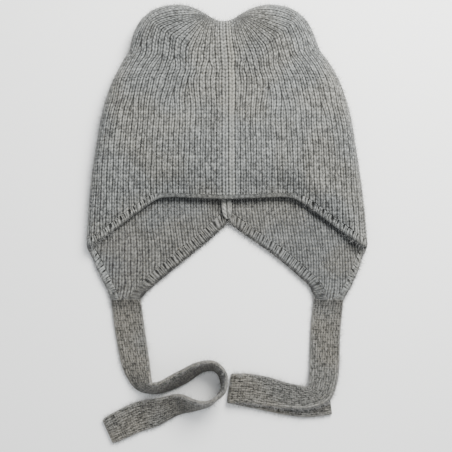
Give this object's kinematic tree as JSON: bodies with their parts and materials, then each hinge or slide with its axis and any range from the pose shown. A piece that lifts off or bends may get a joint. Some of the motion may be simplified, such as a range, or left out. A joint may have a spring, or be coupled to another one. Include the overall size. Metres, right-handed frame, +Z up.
{
  "type": "knitted baby hat with ears",
  "caption": "Rib-knit baby hat with rounded ears at its top corners, ear flaps with edge bands and long flat ties, lying on its back.",
  "frame": {"origin": "middle of the bounding box's bottom, on the floor that the hat lies on", "axes": "+X across the hat to the right as seen from above, +Y from the ties up to the ears, +Z up from the floor through the front of the hat"},
  "size_m": [0.1896, 0.2956, 0.0222],
  "materials": {
    "rib_knit": "melange wool rib knit",
    "edge_band": "melange wool, picked-up edge stitches",
    "tie_knit": "melange wool rib knit"
  },
  "bodies": {
    "root": {"knit_body": "rib_knit", "front_band": "edge_band", "back_band": "edge_band", "back_seam": "edge_band", "left_tie": "tie_knit", "right_tie": "tie_knit"}
  },
  "joints": []
}
